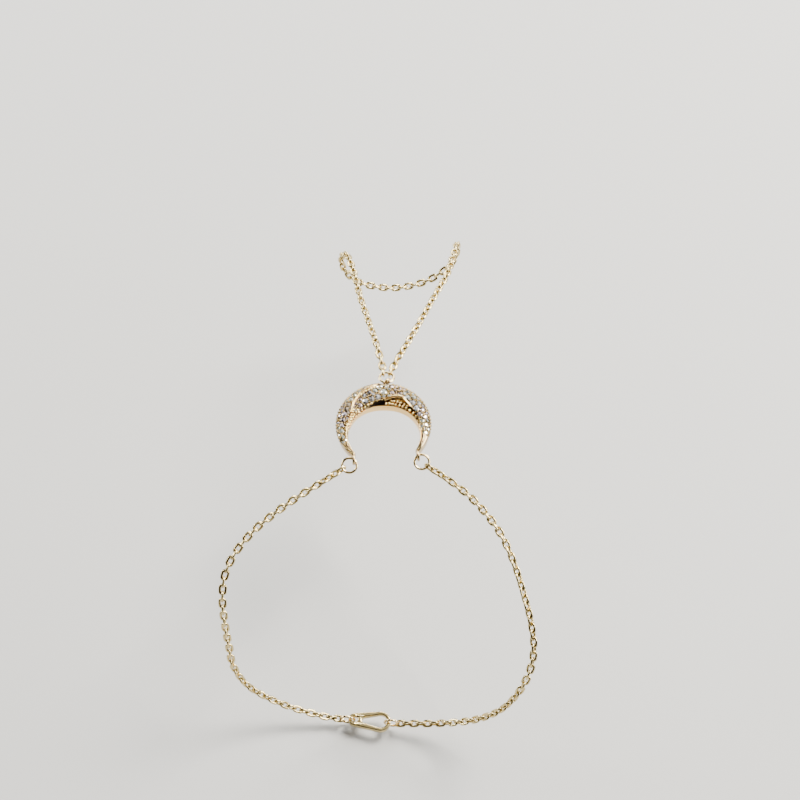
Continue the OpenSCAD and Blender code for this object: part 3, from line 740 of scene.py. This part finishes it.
# The rim's beads: stretches, diameter and pitch, and the shares that give place and height
RIM_STRETCHES, RIM_BEAD_D, RIM_PITCH = ((-114, -6), (12, 106)), 0.56, 0.74
RIM_IN, RIM_UP = 0.012, 0.02

# The stones' faint tints, and where each gathers, as places in mm seen from above
MINT, ROSE, ICE, LILAC, STRAW = "#F2FDF3", "#FBE5E8", "#EEF2FC", "#EBE4F8", "#FFF3E2"
TINT_PLACES = [
    ((0.0, 6.8), MINT), ((3.0, 7.4), ROSE), ((4.9, 5.6), MINT), ((6.4, 4.4), ICE),
    ((7.8, 2.3), LILAC), ((8.4, -1.0), MINT), ((-2.5, 5.3), ICE), ((-5.0, 3.8), ROSE),
    ((-6.2, 2.6), STRAW), ((-5.4, 7.0), MINT), ((-8.3, 1.5), LILAC), ((-8.2, -3.0), MINT),
]


def tints(places):
    """Each stone takes the tint that gathers nearest to it."""
    spots = np.array([place for place, tint in TINT_PLACES])
    colours = np.array([linear(tint)[:3] for place, tint in TINT_PLACES])
    return colours[((places[:, None, :2] - spots) ** 2).sum(-1).argmin(1)]


def cad_stones(node):
    """Girdle middle, facing and girdle radius of each main stone."""
    found = []
    for solid in solids_of(node):
        axis = np.linalg.svd(solid - solid.mean(0), full_matrices=False)[2][2]
        height = solid @ axis
        # the table has more corners than the culet, so it tells which end is up
        on_top, below = height > height.max() - SAME_LEVEL, height < height.min() + SAME_LEVEL
        if on_top.sum() < below.sum():
            axis, height = -axis, -height
        culet = solid[height.argmin()]
        height = (solid - culet) @ axis
        out = np.linalg.norm(solid - culet - height[:, None] * axis, axis=1)
        # the girdle's upper edge is the highest of the corners that stand out the most
        girdle = height[out > out.max() * 0.99].max()
        found.append((culet + axis * girdle, axis, out.max()))
    return [np.array(part) for part in zip(*found)]


def brilliants(name, places, facing, radius, *replaced):
    """A field of cut stones, each turned by chance and with the tint of its place."""
    piece = grow(name, dots(name, places, facing=facing, size=radius * MM,
                            spin=chance.uniform(0, math.pi / 4, len(places)), tint=tints(places)),
                 BRILLIANTS, table=TABLE, crown=CROWN, finish=ZIRCONIA)
    finish_piece(piece, "stones", *replaced)


def beads(name, places, facing, diameter, finish=GOLD_BEAD_PAINTED_SHADE, rings=6, segments=10):
    """A field of beads, each turned by chance."""
    # unless given another finish, beads take the gold darkened as painted shade
    facing = np.broadcast_to(facing, (len(places), 3))
    piece = grow(name, dots(name, places, facing=facing, size=np.asarray(diameter) * MM,
                            spin=chance.uniform(0, 3, len(places))),
                 BEADS, rings=rings, segments=segments, finish=finish)
    finish_piece(piece, "gold")


# Place, radius and facing of everything that is set on the paved strands
taken = []
for node in ("left_stones", "middle_stones", "right_stones"):
    places, facing, radius = cad_stones(node)
    brilliants(node + "_cut", places, facing, radius, node)
    taken += list(zip(places, radius, facing))


def scatter(zone, first, last, v_low, v_high, radius, gap, tries):
    """Places on a strand that lie clear of what is set there, tried in random order."""
    found = []
    a = chance.uniform(first, last, tries)
    v = chance.uniform(v_low, v_high, tries)
    places, facing = zone_point(a, zone, v), zone_normal(a, zone, v)
    for place, up in zip(places, facing):
        spots = np.array([t[0] for t in taken])
        sizes = np.array([t[1] for t in taken])
        if (np.linalg.norm(spots - place, axis=1) > sizes + radius + gap).all():
            taken.append((place, radius, up))
            found.append((place, up))
    return found


# Small stones fill the widest places, then claw beads crowd between all of them
small = []
for field in FINE_FIELDS:
    small += scatter(*field, FINE_SPACE, FINE_GAP, FINE_TRIES)
places, facing = (np.array(part) for part in zip(*small))
brilliants("fine_stones", places + facing * FINE_RISE, facing, np.full(len(places), FINE_R))
claws = []
# each stone has four, at its corners, where its neighbours leave room
for place, radius, up in list(taken):
    side = unit(np.cross(up, [0.3, 1, 0]))
    for quarter in range(4):
        turn = math.radians(45 + 90 * quarter)
        way = side * math.cos(turn) + np.cross(up, side) * math.sin(turn)
        spot = place + way * (radius + CLAW_OFFSET)
        if all(np.linalg.norm(spot - other) > size * CLAW_NEAR + CLAW_CLEAR
               for other, size, _ in taken if other is not place):
            taken.append((spot, CLAW_R, up))
            claws.append((spot + up * CLAW_LIFT, up, CLAW_R))
for size, tries in GRAINS:
    for field in GRAIN_FIELDS:
        claws += [(p, f, size) for p, f in scatter(*field, size, GRAIN_GAP, tries)]
places, facing, size = (np.array(part) for part in zip(*claws))
beads("claw_beads", places + facing * CLAW_RISE, facing, 2 * size)

# Rows of gold beads in the bed, staggered, along the upper strand's edges and on the left horn
bed = []
for zone, first, last, v, diameter in BEAD_ROWS:
    middle = (first + last) / 2
    row_r = CRESCENT_R - float(zone_share(middle, zone, v)) * band_w(middle)
    count = int(abs(last - first) * math.pi / 180 * row_r / (ROW_PITCH * diameter))
    for a in np.linspace(first, last, count + 1):
        place = zone_point(a, zone, v)
        bed.append((place + [0, 0, ROW_RISE], diameter, zone == BED))
for row in range(BED_ROWS):
    inset, diameter = BED_INSET + BED_STEP * row, BED_BEAD_D - BED_SHRINK * row
    pitch = BED_PITCH / (CRESCENT_R - ARCH_W + inset) * 180 / math.pi
    for a in np.arange(BED_FIRST + pitch * (row % 2) / 2, BED_LAST, pitch):
        u = 1 - inset / band_w(a)
        if u > eased(a, INNER) + (BED_CLEAR if a < BED_MIDDLE else BED_LAP):
            z = base_z(a, u) - BED_DEPTH + BED_RISE
            bed.append((band_point(a, u, z), diameter, False))
# the bed's beads take the pale gold of painted light, the row beside the inner wall a painted
# orange reflection
for name, inner, finish in (("bed_beads", False, GOLD_BED_PAINTED_LIGHT), ("inner_beads", True, GOLD_INNER_PAINTED_REFLECTION)):
    places, sizes = zip(*[b[:2] for b in bed if b[2] == inner])
    beads(name, np.array(places), UPRIGHT, sizes, finish, rings=8, segments=12)

rim = []
for first, last in RIM_STRETCHES:
    count = int((last - first) * math.pi / 180 * CRESCENT_R / RIM_PITCH)
    for a in np.linspace(first, last, count + 1):
        rim.append(band_point(a, RIM_IN, base_z(a, RIM_UP)))
beads("rim_beads", np.array(rim), UPRIGHT, np.full(len(rim), RIM_BEAD_D))


# Clasp

CLASP_ROUNDING, CLASP_STEPS = 0.22, 3

clasp = show("clasp_plain", NODES["clasp"].data.copy())
clasp.data.materials.clear()
clasp.data.materials.append(GOLD_WIRE)
weld = clasp.modifiers.new("weld", "WELD")
weld.merge_threshold = 0.001 * MM
bevel = clasp.modifiers.new("bevel", "BEVEL")
bevel.width, bevel.segments, bevel.angle_limit = CLASP_ROUNDING * MM, CLASP_STEPS, SHARP_ANGLE
graph = bpy.context.evaluated_depsgraph_get()
rounded = bpy.data.meshes.new_from_object(clasp.evaluated_get(graph), depsgraph=graph)
clasp.modifiers.clear()
clasp.data = rounded
rounded.shade_smooth()
rounded.set_sharp_from_angle(angle=SHARP_ANGLE)
finish_piece(clasp, "gold", "clasp")


# Floor, light and camera

# In metres: just under the lowest link, and wide enough to fill the view
FLOOR_Z, FLOOR_HALF = -0.0412, 3

floor_mesh = bpy.data.meshes.new("floor")
corners = [(x * FLOOR_HALF, y * FLOOR_HALF, FLOOR_Z)
           for x, y in ((-1, -1), (1, -1), (1, 1), (-1, 1))]
floor_mesh.from_pydata(corners, [], [(0, 1, 2, 3)])
floor_mesh.materials.append(CARD)
show("floor", floor_mesh)

# The room's bright side as a direction, and the dot with it where its fade begins
BRIGHT_SIDE, FADE_FROM = (0.42, 0.5, 0.76), -0.2

world = bpy.data.worlds.new("studio")
bpy.context.scene.world = world
world.use_nodes = True
sky = world.node_tree
# A dim room with its one bright side up at the right, behind the piece
way = add(sky, "ShaderNodeVectorMath", {"operation": "DOT_PRODUCT"},
          {0: add(sky, "ShaderNodeTexCoord").outputs["Generated"], 1: BRIGHT_SIDE})
near = add(sky, "ShaderNodeMapRange", None,
           {"Value": way.outputs["Value"], "From Min": FADE_FROM, "From Max": 1.0})
fade = add(sky, "ShaderNodeValToRGB", None, {"Fac": near.outputs[0]})
shades = fade.color_ramp.elements
shades[0].color = linear("#0D0B0A")
shades[1].color = linear("#FFFFFF")
for at, shade in ((0.7, "#262220"), (0.88, "#D6D4D1")):
    shades.new(at).color = linear(shade)
backdrop = sky.nodes["Background"]
sky.links.new(fade.outputs["Color"], backdrop.inputs["Color"])
backdrop.inputs["Strength"].default_value = 1.0


def softbox(name, place, width, height, watts, colour="#FFFFFF"):
    """A soft rectangular light, in metres and watts, turned to the origin."""
    lamp = bpy.data.lights.new(name, "AREA")
    lamp.shape, lamp.size, lamp.size_y = "RECTANGLE", width, height
    lamp.energy, lamp.color = watts, linear(colour)[:3]
    holder = bpy.data.objects.new(name, lamp)
    bpy.context.scene.collection.objects.link(holder)
    holder.location = place
    holder.rotation_euler = (-Vector(place)).to_track_quat("-Z", "Y").to_euler()


softbox("key softbox", (0.45, 0.35, 0.7), 0.36, 0.36, 26, "#FFFAF3")
# low strips put the bright lines on the edges of the wires
softbox("left strip", (-0.6, 0.3, 0.24), 0.4, 0.1, 6)
softbox("right strip", (0.64, 0.05, 0.22), 0.4, 0.1, 6)
softbox("back strip", (0.05, 0.75, 0.26), 0.5, 0.1, 6)

# The photograph's view: its height above the level in degrees, its place in metres, its lens
VIEW_ELEVATION, VIEW_PLACE, VIEW_LENS = 59, (0.0034, -0.2011, 0.3458), 87.3

camera = bpy.data.objects.new("camera", bpy.data.cameras.new("camera"))
bpy.context.scene.collection.objects.link(camera)
bpy.context.scene.camera = camera
camera.data.sensor_width, camera.data.lens = 36, VIEW_LENS
camera.data.clip_start, camera.data.clip_end = 0.01, 20
camera.location = VIEW_PLACE
camera.rotation_euler = (math.radians(90 - VIEW_ELEVATION), 0, 0)
